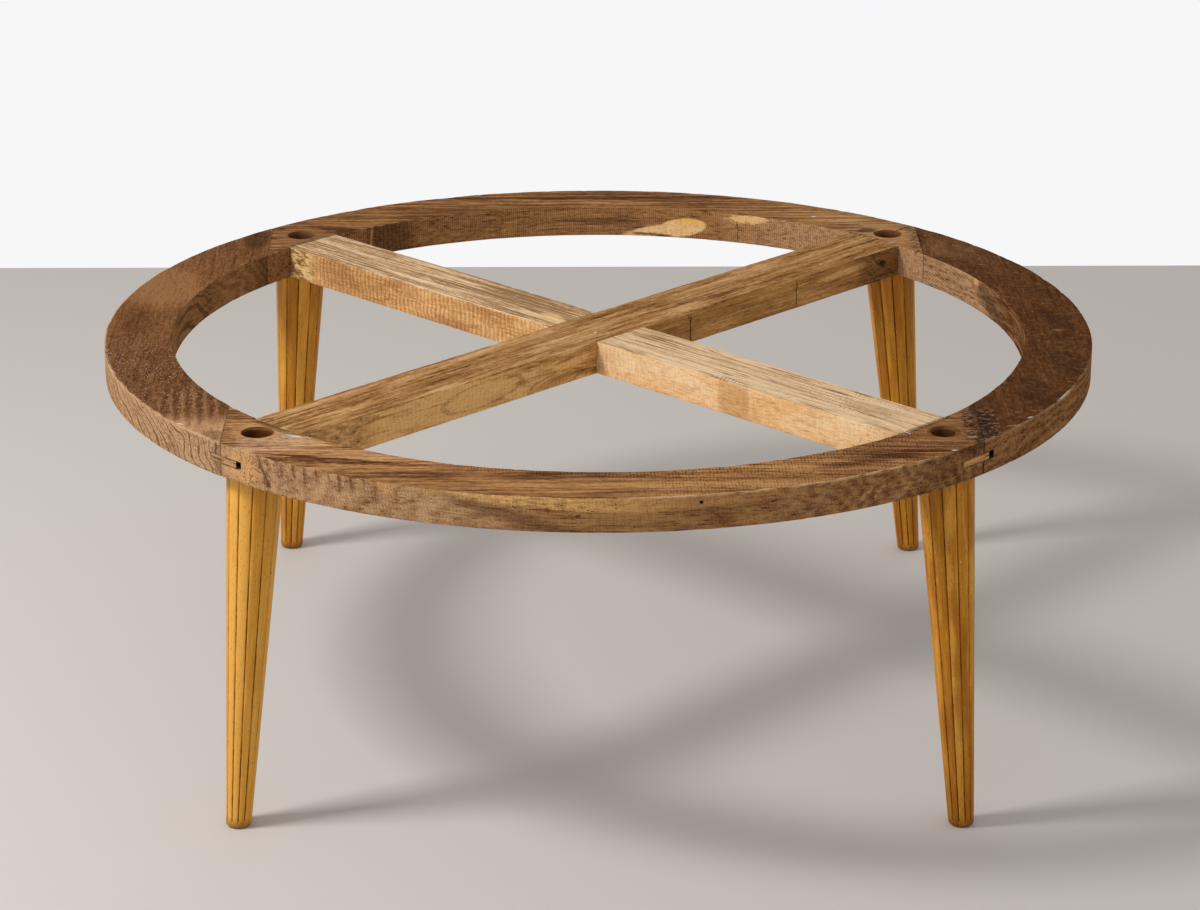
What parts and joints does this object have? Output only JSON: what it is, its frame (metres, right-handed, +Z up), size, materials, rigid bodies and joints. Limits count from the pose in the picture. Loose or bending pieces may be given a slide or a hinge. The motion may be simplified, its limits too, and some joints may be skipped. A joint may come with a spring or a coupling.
{
  "type": "round coffee table frame",
  "caption": "Round coffee table's underframe: a sawn wooden rim on splayed, fluted, tapered legs, with crossed stretchers flush with the rim and no top.",
  "frame": {"origin": "centre of the rim, brought down to the floor that the feet stand on", "axes": "+Z up; +Y away from the viewer of the picture; +X to the viewer's right"},
  "size_m": [1, 1, 0.3885],
  "materials": {
    "rim_brown": "rough sawn",
    "rim_dark": "rough sawn",
    "tongue_wood": "raw",
    "stretcher_wood": "raw, sawn",
    "leg_varnish": "satin varnish",
    "dowel_wood": "raw",
    "steel_wire": "bright wire"
  },
  "bodies": {
    "root": {"ring_front": "rim_brown", "ring_right": "rim_dark", "ring_back": "rim_brown", "ring_left": "rim_dark", "tongue_front_right": "tongue_wood", "tongue_back_right": "tongue_wood", "tongue_back_left": "tongue_wood", "tongue_front_left": "tongue_wood", "stretcher_long": "stretcher_wood", "stretcher_cross": "stretcher_wood", "leg_front_right": "leg_varnish", "leg_back_right": "leg_varnish", "leg_back_left": "leg_varnish", "leg_front_left": "leg_varnish", "dowels": "dowel_wood", "staples": "steel_wire"}
  },
  "joints": []
}
